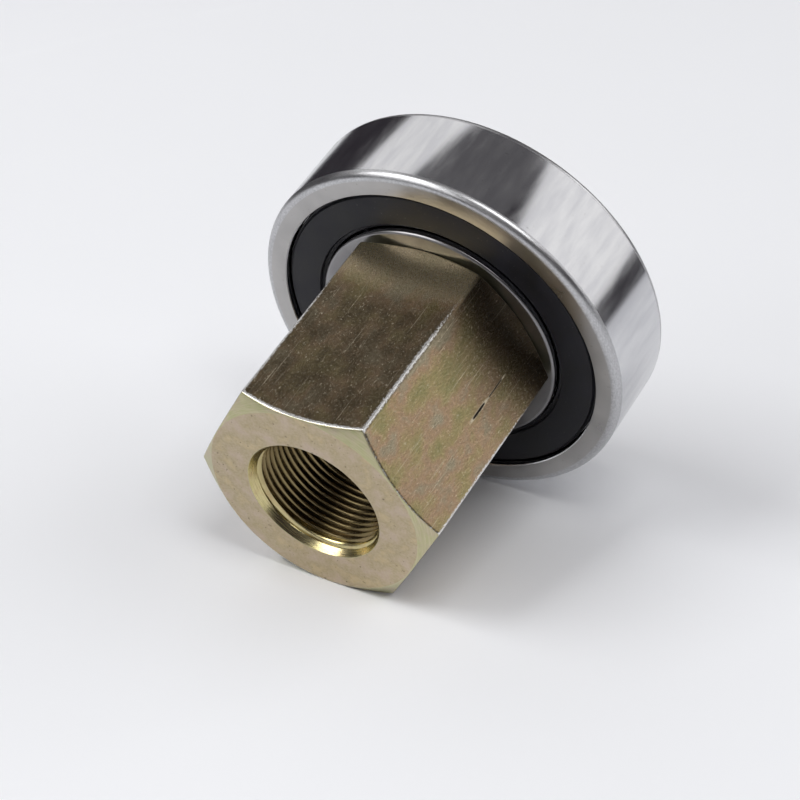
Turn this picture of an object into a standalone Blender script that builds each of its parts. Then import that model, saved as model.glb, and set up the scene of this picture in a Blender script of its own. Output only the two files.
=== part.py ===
"""Cam follower: a sealed ball bearing pressed onto a hexagonal spindle with a threaded end.

The spin axis is Y and the threaded end faces +Y, with Z up. The origin is the middle of the
spindle's flat rear end face. Lengths in the list below are millimetres; Blender works in metres.
"""

from math import acos, asin, cos, pi, radians, sin, sqrt, tan

import bmesh
import bpy
from mathutils import Vector

MM = 0.001
SAME_PLACE = 1e-8
COLLECTION_NAME = "cam_follower"

# Bearing, from its boundary dimensions
OUTER_RADIUS = 31.0
BORE_RADIUS = 15.0
WIDTH = 16.0
HALF_WIDTH = WIDTH / 2
OUTER_CORNER = 1.3
BORE_CORNER = 1.0

# Rolling set
BALL_COUNT = 9
BALL_RADIUS = 4.7625
PITCH_RADIUS = 23.0
RACE_CURVE_RADIUS = 4.905
OUTER_RACE_CLEARANCE = 0.09
INNER_RACE_CLEARANCE = 0.04
BALL_SEGMENTS = 12
BALL_BANDS = 6

# Rings
OUTER_LAND_RADIUS = 25.8
INNER_LAND_RADIUS = 20.18
RECESS_RADIUS = 27.05
RECESS_FLOOR_Y = 5.95
RECESS_LEAD = 0.15
INNER_EDGE_BREAK = 0.3
RACE_STEPS = 3
OUTER_SEGMENTS = 48
INNER_SEGMENTS = 36

# Cage
CAGE_INNER_RADIUS = 20.8
CAGE_OUTER_RADIUS = 25.2
CAGE_THICKNESS = 0.9
CAGE_SEAM_GAP = 0.02
POCKET_CLEARANCE = 0.25
POCKET_STEPS = 3
RIVET_HOLE_RADIUS = 1.0
RIVET_SHANK_RADIUS = 0.85
RIVET_HEAD_RADIUS = 1.5
RIVET_HEAD_HEIGHT = 0.55
RIVET_CROWN_RADIUS = 0.9
RIVET_SEAT_GAP = 0.03
RIVET_SEGMENTS = 6
HOLE_SEGMENTS = 8

# Seals
SEAL_FRONT_Y = 7.45
SEAL_REAR_Y = 6.1
SEAL_SHOULDER_RADIUS = 26.5
SEAL_BEAD_RADIUS = 26.85
SEAL_BEAD_Y = 7.1
SEAL_LIP_RADIUS = 20.45
SEAL_LIP_LOW_Y = 6.3
SEAL_LIP_HIGH_Y = 6.7
SEAL_WEB_INNER_RADIUS = 21.3
INSERT_INNER_RADIUS = 21.95
INSERT_OUTER_RADIUS = 26.25
INSERT_THICKNESS = 0.4
INSERT_GAP = 0.05

# Spindle
SEAT_GAP = 0.02
FACE_GAP = 0.05
REAR_LAND = 2.0
REAR_CHAMFER = 0.8
GROOVE_RADIUS = 14.3
GROOVE_WIDTH = 1.6
HEX_ACROSS_FLATS = 35.0
HEX_LENGTH = 38.0
HEX_CHAMFER_RADIUS = 17.35
HEX_CHAMFER_ANGLE = radians(30)
MOUTH_RADIUS = 11.1
MOUTH_HALF_ANGLE = radians(30)
THREAD_PITCH = 1.15
THREAD_CREST_RADIUS = 10.0
THREAD_ROOT_RADIUS = 10.6
THREAD_END_DEPTH = 22.0
DRILL_DEPTH = 26.0
DRILL_POINT_ANGLE = radians(118)

# Retaining ring
CLIP_THICKNESS = 1.5
CLIP_INNER_RADIUS = 14.4
CLIP_THIN_WIDTH = 2.0
CLIP_THICK_WIDTH = 3.4
CLIP_LUG_WIDTH = 4.6
CLIP_HALF_GAP = radians(14)
CLIP_LUG_SPAN = radians(15)
CLIP_SEGMENTS = 36
CLIP_PIN_RADIUS = 1.0
CLIP_PIN_INSET = 2.53
CLIP_LUG_EDGE = radians(0.06)
CLIP_CENTRE_ANGLE = radians(180)

# Positions along the spin axis
GROOVE_START_Y = REAR_LAND
GROOVE_END_Y = REAR_LAND + GROOVE_WIDTH
BEARING_CENTRE_Y = GROOVE_END_Y + HALF_WIDTH
SHOULDER_Y = GROOVE_END_Y + WIDTH + FACE_GAP
SPINDLE_END_Y = SHOULDER_Y + HEX_LENGTH
MOUTH_DEPTH = (MOUTH_RADIUS - THREAD_CREST_RADIUS) / tan(MOUTH_HALF_ANGLE)

SMOOTH_ANGLE = radians(32)
CUTTER_OVERHANG = 1.0


def clear_scene():
    for obj in list(bpy.data.objects):
        bpy.data.objects.remove(obj)


def new_collection(name):
    collection = bpy.data.collections.new(name)
    bpy.context.scene.collection.children.link(collection)
    return collection


def make_material(name, colour, roughness, metallic):
    material = bpy.data.materials.new(name)
    material.use_nodes = True
    shader = material.node_tree.nodes["Principled BSDF"]
    shader.inputs["Base Color"].default_value = (*colour, 1.0)
    shader.inputs["Roughness"].default_value = roughness
    shader.inputs["Metallic"].default_value = metallic
    material.diffuse_color = (*colour, 1.0)
    return material


def around(radius, y, angle):
    """A point at this radius and height along the spin axis. Angle 0 is straight up."""
    return Vector((radius * sin(angle), y, radius * cos(angle))) * MM


def circle(radius, y, segments):
    return [around(radius, y, 2 * pi * i / segments) for i in range(segments)]


class Skin:
    """A mesh built up from point loops, which shares a vertex wherever two points coincide."""

    def __init__(self):
        self.bm = bmesh.new()
        self.known = {}

    def vertex(self, point):
        key = tuple(round(value / SAME_PLACE) for value in point)
        if key not in self.known:
            self.known[key] = self.bm.verts.new(point)
        return self.known[key]

    def face(self, points):
        corners = []
        for point in points:
            vertex = self.vertex(point)
            if vertex not in corners:
                corners.append(vertex)
        if len(corners) >= 3:
            self.bm.faces.new(corners)

    def band(self, first, second):
        """Quads between two closed loops with as many points each."""
        count = len(first)
        for i in range(count):
            j = (i + 1) % count
            self.face((first[i], first[j], second[j], second[i]))

    def halving_band(self, fine, coarse):
        """Triangles from a closed loop to one with half as many points."""
        count = len(coarse)
        for i in range(count):
            left, middle, right = fine[2 * i], fine[2 * i + 1], fine[(2 * i + 2) % len(fine)]
            near, far = coarse[i], coarse[(i + 1) % count]
            self.face((left, middle, near))
            self.face((middle, far, near))
            self.face((middle, right, far))

    def chain(self, loops):
        for first, second in zip(loops, loops[1:]):
            self.band(first, second)

    def finish(self, name, material, collection, parent, location=(0.0, 0.0, 0.0)):
        bmesh.ops.recalc_face_normals(self.bm, faces=self.bm.faces)
        mesh = bpy.data.meshes.new(name)
        self.bm.to_mesh(mesh)
        self.bm.free()
        mesh.polygons.foreach_set("use_smooth", [True] * len(mesh.polygons))
        mesh.set_sharp_from_angle(angle=SMOOTH_ANGLE)
        mesh.materials.append(material)
        obj = bpy.data.objects.new(name, mesh)
        collection.objects.link(obj)
        obj.parent = parent
        obj.location = Vector(location) * MM
        return obj


def make_empty(name, collection, y, parent=None):
    empty = bpy.data.objects.new(name, None)
    collection.objects.link(empty)
    empty.parent = parent
    empty.location = (0.0, y * MM, 0.0)
    return empty


def turned_ring(profile, segments):
    """A ring turned from a closed profile of (radius, y) corners."""
    skin = Skin()
    loops = [circle(radius, y, segments) for radius, y in profile]
    skin.chain(loops + loops[:1])
    return skin


def turned_solid(profile, segments):
    """A solid turned from an open profile, with a flat cap on its first and last corner."""
    skin = Skin()
    loops = [circle(radius, y, segments) for radius, y in profile]
    skin.chain(loops)
    skin.face(loops[0])
    skin.face(loops[-1])
    return skin


def add_cut(target, cutter):
    cutter.hide_render = True
    cutter.display_type = "WIRE"
    cut = target.modifiers.new(cutter.name, "BOOLEAN")
    cut.operation = "DIFFERENCE"
    cut.solver = "EXACT"
    cut.object = cutter


def race_arc(land_radius, centre_radius, outward):
    """The raceway groove's corners from its land edge down to just above its middle."""
    edge = acos(abs(land_radius - centre_radius) / RACE_CURVE_RADIUS)
    points = []
    for step in range(RACE_STEPS):
        angle = edge * (1 - step / RACE_STEPS)
        radius = centre_radius + outward * RACE_CURVE_RADIUS * cos(angle)
        points.append((radius, RACE_CURVE_RADIUS * sin(angle)))
    return points


def rounded_corner(radius, y, size, outward):
    """Three corners that round the edge between a cylinder and a side face, cylinder first."""
    middle = size * (1 - cos(radians(45)))
    return [
        (radius, y - size),
        (radius - outward * middle, y - middle),
        (radius - outward * size, y),
    ]


def both_halves(half, race_bottom):
    """A ring's whole closed profile, from its +y half and the bottom of its raceway."""
    return half + [(race_bottom, 0.0)] + [(radius, -y) for radius, y in reversed(half)]


def make_outer_ring(material, collection, parent):
    race_bottom = PITCH_RADIUS + BALL_RADIUS + OUTER_RACE_CLEARANCE
    half = rounded_corner(OUTER_RADIUS, HALF_WIDTH, OUTER_CORNER, 1)
    half += [
        (RECESS_RADIUS + RECESS_LEAD, HALF_WIDTH),
        (RECESS_RADIUS, HALF_WIDTH - RECESS_LEAD),
        (RECESS_RADIUS, RECESS_FLOOR_Y),
        (OUTER_LAND_RADIUS, RECESS_FLOOR_Y),
    ]
    half += race_arc(OUTER_LAND_RADIUS, race_bottom - RACE_CURVE_RADIUS, 1)
    profile = both_halves(half, race_bottom)
    turned_ring(profile, OUTER_SEGMENTS).finish("outer_ring", material, collection, parent)


def make_inner_ring(material, collection, parent):
    race_bottom = PITCH_RADIUS - BALL_RADIUS - INNER_RACE_CLEARANCE
    half = rounded_corner(BORE_RADIUS, HALF_WIDTH, BORE_CORNER, -1)
    half += [
        (INNER_LAND_RADIUS - INNER_EDGE_BREAK, HALF_WIDTH),
        (INNER_LAND_RADIUS, HALF_WIDTH - INNER_EDGE_BREAK),
    ]
    half += race_arc(INNER_LAND_RADIUS, race_bottom + RACE_CURVE_RADIUS, -1)
    profile = both_halves(half, race_bottom)
    turned_ring(profile, INNER_SEGMENTS).finish("inner_ring", material, collection, parent)


def ball_angle(number):
    return 2 * pi * number / BALL_COUNT


def make_balls(material, collection, parent):
    for number in range(BALL_COUNT):
        skin = Skin()
        bmesh.ops.create_uvsphere(
            skin.bm, u_segments=BALL_SEGMENTS, v_segments=BALL_BANDS, radius=BALL_RADIUS * MM
        )
        centre = around(PITCH_RADIUS, 0.0, ball_angle(number)) / MM
        skin.finish(f"ball_{number + 1}", material, collection, parent, centre)


def cage_height(offset, radius):
    """How far a pocket of this radius stands from the seam, at this angle from its ball."""
    along = PITCH_RADIUS * sin(offset)
    return sqrt(max(0.0, radius**2 - along**2))


def cage_offsets():
    """Angles from one ball at which the ribbon gets a section, starting midway to its neighbour."""
    pocket = BALL_RADIUS + POCKET_CLEARANCE
    flat_height = CAGE_SEAM_GAP + CAGE_THICKNESS
    reaches = [pocket * sin(pi / 2 * step / POCKET_STEPS) for step in range(POCKET_STEPS + 1)]
    reaches.append(sqrt((pocket + CAGE_THICKNESS) ** 2 - flat_height**2))
    offsets = [asin(reach / PITCH_RADIUS) for reach in reaches]
    return [-pi / BALL_COUNT] + [-offset for offset in reversed(offsets[1:])] + offsets


def cage_section(offset, angle, side):
    """The four corners of the ribbon at one angle round the bearing."""
    pocket = BALL_RADIUS + POCKET_CLEARANCE
    near = max(CAGE_SEAM_GAP, cage_height(offset, pocket))
    far = max(CAGE_SEAM_GAP + CAGE_THICKNESS, cage_height(offset, pocket + CAGE_THICKNESS))
    return [
        around(CAGE_INNER_RADIUS, side * near, angle),
        around(CAGE_OUTER_RADIUS, side * near, angle),
        around(CAGE_OUTER_RADIUS, side * far, angle),
        around(CAGE_INNER_RADIUS, side * far, angle),
    ]


def rivet_angle(number):
    return ball_angle(number) + pi / BALL_COUNT


def make_rivet_hole_cutter(collection, parent, name):
    skin = Skin()
    reach = CAGE_THICKNESS + CUTTER_OVERHANG
    for number in range(BALL_COUNT):
        centre = around(PITCH_RADIUS, 0.0, rivet_angle(number))
        ends = []
        for y in (-reach, reach):
            loop = circle(RIVET_HOLE_RADIUS, y, HOLE_SEGMENTS)
            ends.append([point + centre for point in loop])
        skin.band(*ends)
        skin.face(ends[0])
        skin.face(ends[1])
    return skin.finish(name, None, collection, parent)


def make_cage_halves(material, collection, cutters, parent):
    for name, side in (("cage_front_half", 1), ("cage_rear_half", -1)):
        sections = []
        for number in range(BALL_COUNT):
            for offset in cage_offsets():
                sections.append(cage_section(offset, ball_angle(number) + offset, side))
        skin = Skin()
        skin.chain(sections + sections[:1])
        half = skin.finish(name, material, collection, parent)
        add_cut(half, make_rivet_hole_cutter(cutters, parent, f"{name}_holes"))


def make_rivets(material, collection, parent):
    seat = CAGE_SEAM_GAP + CAGE_THICKNESS + RIVET_SEAT_GAP
    top = seat + RIVET_HEAD_HEIGHT
    profile = [
        (RIVET_CROWN_RADIUS, top),
        (RIVET_HEAD_RADIUS, seat),
        (RIVET_SHANK_RADIUS, seat),
        (RIVET_SHANK_RADIUS, -seat),
        (RIVET_HEAD_RADIUS, -seat),
        (RIVET_CROWN_RADIUS, -top),
    ]
    for number in range(BALL_COUNT):
        skin = turned_solid(profile, RIVET_SEGMENTS)
        centre = around(PITCH_RADIUS, 0.0, rivet_angle(number)) / MM
        skin.finish(f"cage_rivet_{number + 1}", material, collection, parent, centre)


def make_seals(rubber, steel, collection, parent):
    insert_front_y = SEAL_REAR_Y + INSERT_THICKNESS
    rebate_y = insert_front_y + INSERT_GAP
    rubber_profile = [
        (SEAL_SHOULDER_RADIUS, SEAL_FRONT_Y),
        (SEAL_BEAD_RADIUS, SEAL_BEAD_Y),
        (SEAL_BEAD_RADIUS, SEAL_REAR_Y),
        (INSERT_OUTER_RADIUS + INSERT_GAP, SEAL_REAR_Y),
        (INSERT_OUTER_RADIUS + INSERT_GAP, rebate_y),
        (INSERT_INNER_RADIUS - INSERT_GAP, rebate_y),
        (INSERT_INNER_RADIUS - INSERT_GAP, SEAL_REAR_Y),
        (SEAL_LIP_RADIUS, SEAL_LIP_LOW_Y),
        (SEAL_LIP_RADIUS, SEAL_LIP_HIGH_Y),
        (SEAL_WEB_INNER_RADIUS, SEAL_FRONT_Y),
    ]
    insert_profile = [
        (INSERT_INNER_RADIUS, SEAL_REAR_Y),
        (INSERT_OUTER_RADIUS, SEAL_REAR_Y),
        (INSERT_OUTER_RADIUS, insert_front_y),
        (INSERT_INNER_RADIUS, insert_front_y),
    ]
    for place, side in (("front", 1), ("rear", -1)):
        for name, profile, material in (
            (f"{place}_seal_rubber", rubber_profile, rubber),
            (f"{place}_seal_insert", insert_profile, steel),
        ):
            placed = [(radius, side * y) for radius, y in profile]
            turned_ring(placed, INNER_SEGMENTS).finish(name, material, collection, parent)


def hex_radius(angle):
    """From the axis to the hexagon's outline, with a flat facing straight up."""
    sixth = radians(60)
    from_flat = (angle + sixth / 2) % sixth - sixth / 2
    return HEX_ACROSS_FLATS / 2 / cos(from_flat)


def hex_loop(end_y, inward):
    """The curved edge where a chamfer cone meets the six flats."""
    loop = []
    for i in range(INNER_SEGMENTS):
        angle = 2 * pi * i / INNER_SEGMENTS
        radius = hex_radius(angle)
        setback = (radius - HEX_CHAMFER_RADIUS) * tan(HEX_CHAMFER_ANGLE)
        loop.append(around(radius, end_y + inward * setback, angle))
    return loop


def thread_radius(angle, y, start_y):
    """Radius of the thread's flank at this place, between its crest and its root."""
    turns = (start_y - y) / THREAD_PITCH + angle / (2 * pi)
    share = abs(2 * (turns % 1.0) - 1)
    return THREAD_CREST_RADIUS + share * (THREAD_ROOT_RADIUS - THREAD_CREST_RADIUS)


def thread_columns(start_y, end_y, segments):
    """One more column of points than segments, since a turn ends one pitch from its start."""
    half_pitches = 2 * int((start_y - end_y) / THREAD_PITCH + 2)
    columns = []
    for i in range(segments + 1):
        angle = 2 * pi * i / segments
        column = []
        for j in range(-2, half_pitches + 1):
            y = start_y + THREAD_PITCH * (i / segments - j / 2)
            y = min(start_y, max(end_y, y))
            radius = thread_radius(angle % (2 * pi), y, start_y)
            column.append(around(radius, y, angle))
        columns.append(column)
    return columns


def add_thread(skin, start_y, end_y, segments):
    """Adds the threaded wall and returns its two end loops, start first."""
    columns = thread_columns(start_y, end_y, segments)
    for left, right in zip(columns, columns[1:]):
        for j in range(len(left) - 1):
            skin.face((left[j], left[j + 1], right[j + 1], right[j]))
    starts = [column[0] for column in columns[:-1]]
    ends = [column[-1] for column in columns[:-1]]
    return starts, ends


def make_spindle(material, collection, parent):
    seat_radius = BORE_RADIUS - SEAT_GAP
    skin = Skin()
    turned = [
        (seat_radius - REAR_CHAMFER, 0.0),
        (seat_radius, REAR_CHAMFER),
        (seat_radius, GROOVE_START_Y),
        (GROOVE_RADIUS, GROOVE_START_Y),
        (GROOVE_RADIUS, GROOVE_END_Y),
        (seat_radius, GROOVE_END_Y),
        (seat_radius, SHOULDER_Y),
        (HEX_CHAMFER_RADIUS, SHOULDER_Y),
    ]
    outside = [circle(radius, y, INNER_SEGMENTS) for radius, y in turned]
    outside.append(hex_loop(SHOULDER_Y, 1))
    outside.append(hex_loop(SPINDLE_END_Y, -1))
    outside.append(circle(HEX_CHAMFER_RADIUS, SPINDLE_END_Y, INNER_SEGMENTS))
    skin.face(outside[0])
    skin.chain(outside)

    bore_segments = INNER_SEGMENTS // 2
    thread_start_y = SPINDLE_END_Y - MOUTH_DEPTH
    mouth = circle(MOUTH_RADIUS, SPINDLE_END_Y, bore_segments)
    cone_edge = circle(THREAD_CREST_RADIUS, thread_start_y, bore_segments)
    skin.halving_band(outside[-1], mouth)
    skin.band(mouth, cone_edge)
    thread_end_y = SPINDLE_END_Y - THREAD_END_DEPTH
    starts, ends = add_thread(skin, thread_start_y, thread_end_y, bore_segments)
    skin.band(cone_edge, starts)
    drill_y = SPINDLE_END_Y - DRILL_DEPTH
    tail = circle(THREAD_CREST_RADIUS, drill_y, bore_segments)
    skin.band(ends, tail)
    tip_y = drill_y - THREAD_CREST_RADIUS / tan(DRILL_POINT_ANGLE / 2)
    tip = around(0.0, tip_y, 0.0)
    for i in range(bore_segments):
        skin.face((tail[i], tail[(i + 1) % bore_segments], tip))
    skin.finish("hex_spindle", material, collection, parent)


def clip_width(angle):
    """Radial width of the retaining ring, at this angle from the middle of its gap."""
    if angle < CLIP_HALF_GAP + CLIP_LUG_SPAN:
        return CLIP_LUG_WIDTH
    share = (1 - cos(angle)) / 2
    return CLIP_THIN_WIDTH + share * (CLIP_THICK_WIDTH - CLIP_THIN_WIDTH)


def make_pin_cutter(collection, parent):
    skin = Skin()
    lug_radius = CLIP_INNER_RADIUS + CLIP_PIN_INSET
    for side in (-1, 1):
        angle = CLIP_CENTRE_ANGLE + side * (CLIP_HALF_GAP + CLIP_LUG_SPAN / 2)
        centre = around(lug_radius, 0.0, angle)
        ends = []
        for y in (-CUTTER_OVERHANG, CLIP_THICKNESS + CUTTER_OVERHANG):
            loop = circle(CLIP_PIN_RADIUS, y, HOLE_SEGMENTS)
            ends.append([point + centre for point in loop])
        skin.band(*ends)
        skin.face(ends[0])
        skin.face(ends[1])
    return skin.finish("retaining_ring_pin_holes", None, collection, parent)


def make_retaining_ring(material, collection, cutters, parent):
    lug_edge = CLIP_HALF_GAP + CLIP_LUG_SPAN
    body_span = 2 * (pi - lug_edge)
    offsets = [CLIP_HALF_GAP, CLIP_HALF_GAP + CLIP_LUG_SPAN / 2, lug_edge - CLIP_LUG_EDGE]
    offsets += [lug_edge + body_span * i / CLIP_SEGMENTS for i in range(CLIP_SEGMENTS + 1)]
    offsets += [2 * pi - offset for offset in reversed(offsets[:3])]
    sections = []
    for offset in offsets:
        outer = CLIP_INNER_RADIUS + clip_width(min(offset, 2 * pi - offset))
        angle = CLIP_CENTRE_ANGLE + offset
        sections.append(
            [
                around(CLIP_INNER_RADIUS, 0.0, angle),
                around(outer, 0.0, angle),
                around(outer, CLIP_THICKNESS, angle),
                around(CLIP_INNER_RADIUS, CLIP_THICKNESS, angle),
            ]
        )
    skin = Skin()
    skin.chain(sections)
    skin.face(sections[0])
    skin.face(sections[-1])
    clip = skin.finish("retaining_ring", material, collection, parent)
    add_cut(clip, make_pin_cutter(cutters, parent))


def main():
    clear_scene()
    collection = new_collection(COLLECTION_NAME)
    cutters = new_collection("cutters")

    bearing_steel = make_material("polished_bearing_steel", (0.62, 0.62, 0.64), 0.18, 1.0)
    ball_steel = make_material("ball_steel", (0.75, 0.75, 0.76), 0.08, 1.0)
    cage_steel = make_material("pressed_cage_steel", (0.5, 0.5, 0.5), 0.35, 1.0)
    seal_rubber = make_material("seal_rubber", (0.028, 0.028, 0.032), 0.5, 0.0)
    insert_steel = make_material("seal_insert_steel", (0.42, 0.42, 0.42), 0.4, 1.0)
    yellow_zinc = make_material("yellow_zinc_plating", (0.42, 0.35, 0.22), 0.33, 1.0)
    spring_steel = make_material("blackened_spring_steel", (0.09, 0.09, 0.1), 0.4, 1.0)

    spindle = make_empty("spindle_frame", collection, 0.0)
    roller = make_empty("roller_frame", collection, BEARING_CENTRE_Y)
    cage = make_empty("cage_frame", collection, BEARING_CENTRE_Y)
    fixed_race = make_empty("inner_ring_frame", collection, BEARING_CENTRE_Y)
    clip_seat = make_empty("retaining_ring_frame", collection, GROOVE_START_Y + FACE_GAP)

    make_spindle(yellow_zinc, collection, spindle)
    make_inner_ring(bearing_steel, collection, fixed_race)
    make_retaining_ring(spring_steel, collection, cutters, clip_seat)
    make_outer_ring(bearing_steel, collection, roller)
    make_seals(seal_rubber, insert_steel, collection, roller)
    make_cage_halves(cage_steel, collection, cutters, cage)
    make_rivets(cage_steel, collection, cage)
    make_balls(ball_steel, collection, cage)


main()
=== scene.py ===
"""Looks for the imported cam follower: fine meshes, patterned materials, a pale studio and a camera.

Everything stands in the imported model's frame: the spin axis is Y, the threaded end faces +Y and
Z is up. Lengths in the lists below are millimetres. Where a piece starts and ends comes from its
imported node, and the lists hold the smaller shapes on it.
"""

from math import acos, asin, atan2, ceil, cos, hypot, pi, radians, sin, sqrt, tan

import bmesh
import bpy
import numpy as np
from mathutils import Matrix, Vector


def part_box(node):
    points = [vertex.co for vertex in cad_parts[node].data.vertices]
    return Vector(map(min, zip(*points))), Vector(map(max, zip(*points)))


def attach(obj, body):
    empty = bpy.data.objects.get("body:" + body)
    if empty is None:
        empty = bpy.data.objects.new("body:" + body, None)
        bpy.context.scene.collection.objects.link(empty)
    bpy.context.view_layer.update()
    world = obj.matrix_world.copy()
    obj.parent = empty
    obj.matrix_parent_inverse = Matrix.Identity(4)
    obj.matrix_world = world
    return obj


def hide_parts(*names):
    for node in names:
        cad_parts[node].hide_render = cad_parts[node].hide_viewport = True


MM = 0.001

# Meshing. A fillet takes at most FILLET_SHARE of the sides beside it
MERGE_DISTANCE = 2e-7
ARC_STEPS = 6
FILLET_SHARE = 0.48
RING_SEGMENTS = 240
SMALL_SEGMENTS = 48
SMOOTH_ANGLE = radians(30)
BEVEL_STEPS = 3
BEVEL_ANGLE = radians(40)

# Outer and inner ring
OUTER_CORNER = 1.3
BORE_RADIUS = 15.0
BORE_CORNER = 1.0
RECESS_RADIUS = 27.05
RECESS_LEAD = 0.15
RECESS_FLOOR = 5.95
OUTER_LAND_RADIUS = 25.8
INNER_LAND_RADIUS = 20.18
INNER_EDGE = 0.5
RACE_CURVE_RADIUS = 4.905
OUTER_RACE_CLEARANCE = 0.09
INNER_RACE_CLEARANCE = 0.04
RACE_STEPS = 12
SMALL_EDGE = 0.12

# Balls, cage and rivets
BALL_COUNT = 9
BALL_LEVELS = 4
CAGE_INNER_RADIUS = 20.8
CAGE_OUTER_RADIUS = 25.2
CAGE_GAP = 0.02
CAGE_THICKNESS = 0.9
CAGE_STEPS = 9
CAGE_EDGE = 0.18
POCKET_CLEARANCE = 0.25
RIVET_HOLE_RADIUS = 0.95
RIVET_SHANK_RADIUS = 0.85
RIVET_HEAD_RADIUS = 1.5
RIVET_SEAT_GAP = 0.03
RIVET_EDGE = 0.35

# Seals
SEAL_FACE = 7.45
SEAL_BACK = 6.1
SEAL_BEAD_RADIUS = 26.85
SEAL_BEAD_FACE = 6.9
SEAL_GROOVE_RADIUS = 26.55
SEAL_SHOULDER_RADIUS = 26.3
SEAL_WEB_RADIUS = 21.2
SEAL_LIP_TOP_RADIUS = 21.0
SEAL_LIP_RADIUS = 20.45
SEAL_LIP_FACE = 6.75
SEAL_LIP_BACK = 6.3
INSERT_INNER_RADIUS = 21.95
INSERT_OUTER_RADIUS = 26.25
INSERT_THICKNESS = 0.4
INSERT_GAP = 0.05

# Spindle
SIDES = 6
HALF_FLAT = 17.5
FLAT_STEPS = 16
CORNER_STEPS = 8
EDGE_ROUND = 0.3
CHAMFER_RADIUS = 17.35
CHAMFER_ANGLE = radians(30)
CHAMFER_EDGE = 0.5
FACE_EDGE = 0.25
END_RIM_RADIUS = 16.4
SHOULDER_GAP = 0.05
REAR_CHAMFER = 0.8
REAR_LAND = 2.0
GROOVE_WIDTH = 1.6
GROOVE_RADIUS = 14.3
SEAT_RADIUS = 14.98
MOUTH_RADIUS = 11.1
MOUTH_HALF_ANGLE = radians(30)
THREAD_PITCH = 1.15
THREAD_CREST_RADIUS = 10.0
THREAD_ROOT_RADIUS = 10.6
THREAD_CREST_SHARE = 0.2
THREAD_ROOT_SHARE = 0.1
THREAD_SOFTENING = 0.07
ROWS_PER_PITCH = 10
THREAD_END_DEPTH = 22.0
DRILL_DEPTH = 26.0
DRILL_POINT_ANGLE = radians(118)

# How squarely a face has to look outward or along the spin axis to get each finish
TREAD_FACING = 0.999
CORNER_FACING = 0.05
RING_SIDE_FACING = 0.15
END_FACING = 0.97
CHAMFER_FACING = 0.45

# Retaining ring
CLIP_CENTRE_ANGLE = radians(180)
CLIP_INNER_RADIUS = 14.4
CLIP_THIN_WIDTH = 2.0
CLIP_THICK_WIDTH = 3.4
CLIP_LUG_WIDTH = 4.6
CLIP_HALF_GAP = radians(14)
CLIP_LUG_SPAN = radians(15)
CLIP_LUG_FADE = radians(4)
CLIP_EDGE = 0.22
CLIP_PIN_RADIUS = 1.0
CLIP_PIN_INSET = 2.53
CLIP_STEPS = 150

# Camera, a long lens that looks down on the threaded end
CAMERA_AZIMUTH = radians(215.885)
CAMERA_ELEVATION = radians(44.337)
CAMERA_ROLL = radians(-9.504)
CAMERA_AIM = Vector((-1.22, 33.77, -0.54))
CAMERA_DISTANCE = 384.05
CAMERA_LENS = 114.32

# Studio, in metres
FLOOR_RADIUS = 0.62
FLOOR_SHIFT = -0.3
FLOOR_FADE = (0.8, 1.0)
FLOOR_SEGMENTS = 96
FLOOR_GAP = 0.00002
PAPER_SHADE = 0.985
LIGHT_DISTANCE = 1.6
PAPER = (0.90, 0.91, 0.935)
PALE_SURROUNDINGS = (0.80, 0.81, 0.85)
DIM_SURROUNDINGS = (0.035, 0.031, 0.037)

# Softboxes: name, angle about the spin axis, lean to the threaded end, width, height (degrees)
# and radiance
SOFTBOXES = (
    ("overhead_left", 34, 14, 32, 26, 6.0),
    ("overhead_near", 31, 40, 34, 22, 2.0),
    ("overhead_right", -22, 2, 32, 18, 5.8),
    ("ceiling", 8, -37, 46, 56, 0.10),
    ("left_strip", 52, -37, 30, 56, 0.95),
    ("right_window", -62, -37, 52, 56, 1.05),
    ("low_fill", -60, -70, 24, 16, 2.2),
)

# The direction about the spin axis of the side flat that has dents, and each dent's place across it
# and along Y, half width and half length. DENT_SQUARENESS is the power that squares a dent's outline,
# and DENT_OUTSIDE is added to the distance from it off the flat, so that no dent shows there
DENTED_SIDE = radians(-60)
DENTS = ((-3.5, 36.5, 0.20, 1.9), (-3.52, 31.3, 0.10, 2.2))
DENT_SQUARENESS = 4.0
DENT_OUTSIDE = 9.0
DENT_DEPTH = 0.06

# Where along the flats the painted shade and the painted reflection band fade or begin, as distances
# from the threaded end's chamfer
TOP_SHADE = (24.0, 30.0)
REFLECTION_BAND = (27.0, 31.0)
NEAR_BEARING = (18.0, 30.0)

# Wear along the flats' edges and rims; the rims' bare steel, most of all on the top flat, is a
# painted highlight. A ragged noise from 0 to 1 is scaled to each reach, and the kept part of it wears
# nothing.
# RIM_DOTS is where the side flats' dotted dark line fades
EDGE_WEAR = 1.3
EDGE_KEPT = 0.5
SHELTERED_EDGE = 0.3
RIM_WEAR_AND_HIGHLIGHT = 1.1
SIDE_RIM_KEPT = 0.5
TOP_RIM_KEPT = 0.08
RIM_DOTS = (0.2, 0.45)

# How far below and above the thread's start the painted shade in its roots fades
SHADE_BELOW = 1.0
SHADE_ABOVE = 0.4

# Where on a noise the first and last colour of a soft patch lie, with new colours added in the
# middle, where clouds begin and end, and where a roughness does
PATCH_LOW = 0.34
PATCH_MIDDLE = 0.5
PATCH_HIGH = 0.66
CLOUD_LOW = 0.35
CLOUD_HIGH = 0.65
ROUGH_LOW = 0.3
ROUGH_HIGH = 0.7

# A Mix node's sockets when it mixes colours
MIX_FIRST = 6
MIX_SECOND = 7
MIX_RESULT = 2

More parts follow.
